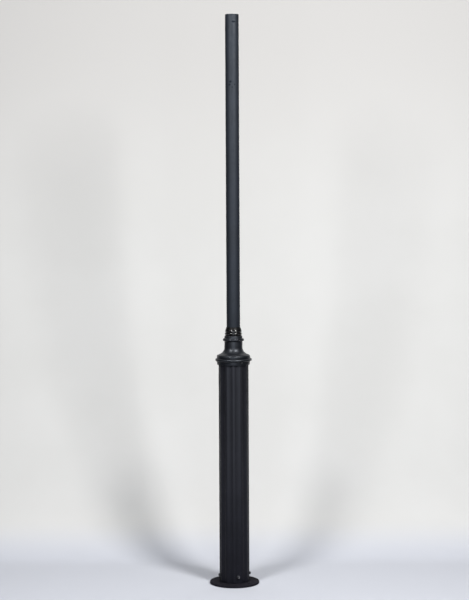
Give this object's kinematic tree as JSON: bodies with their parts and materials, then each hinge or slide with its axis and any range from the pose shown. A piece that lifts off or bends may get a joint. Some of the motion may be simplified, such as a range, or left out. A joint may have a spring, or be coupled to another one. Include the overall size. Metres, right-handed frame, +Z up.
{
  "type": "garden lamp post",
  "caption": "Black garden lamp post without its lantern: fluted lower tube on a round cast base, turned reducer with beads, plain upper tube open at the top.",
  "frame": {"origin": "centre of the flange's underside", "axes": "+Z up along the post's axis, -Y towards the front, where one base screw stands 15 degrees to the right of the middle"},
  "size_m": [0.22, 0.22, 2.524],
  "materials": {
    "cast_black": "satin black powder coat on cast aluminium",
    "fluted_black": "satin black powder coat on an aluminium extrusion",
    "tube_black": "satin black powder coat on a drawn aluminium tube",
    "seal_rubber": "glossy black moulded rubber",
    "black_steel": "black-coated steel, worn bright at the rims of the key sockets",
    "brass": "plain brass"
  },
  "bodies": {
    "root": {"base_flange": "cast_black", "fluted_tube": "fluted_black", "base_screws": "black_steel", "base_washers": "black_steel", "reducer_casting": "cast_black", "lower_set_screws": "black_steel", "upper_set_screws": "black_steel", "rubber_seal": "seal_rubber", "upper_tube": "tube_black", "earth_stud": "brass", "earth_washers": "brass", "earth_nuts": "brass"}
  },
  "joints": []
}
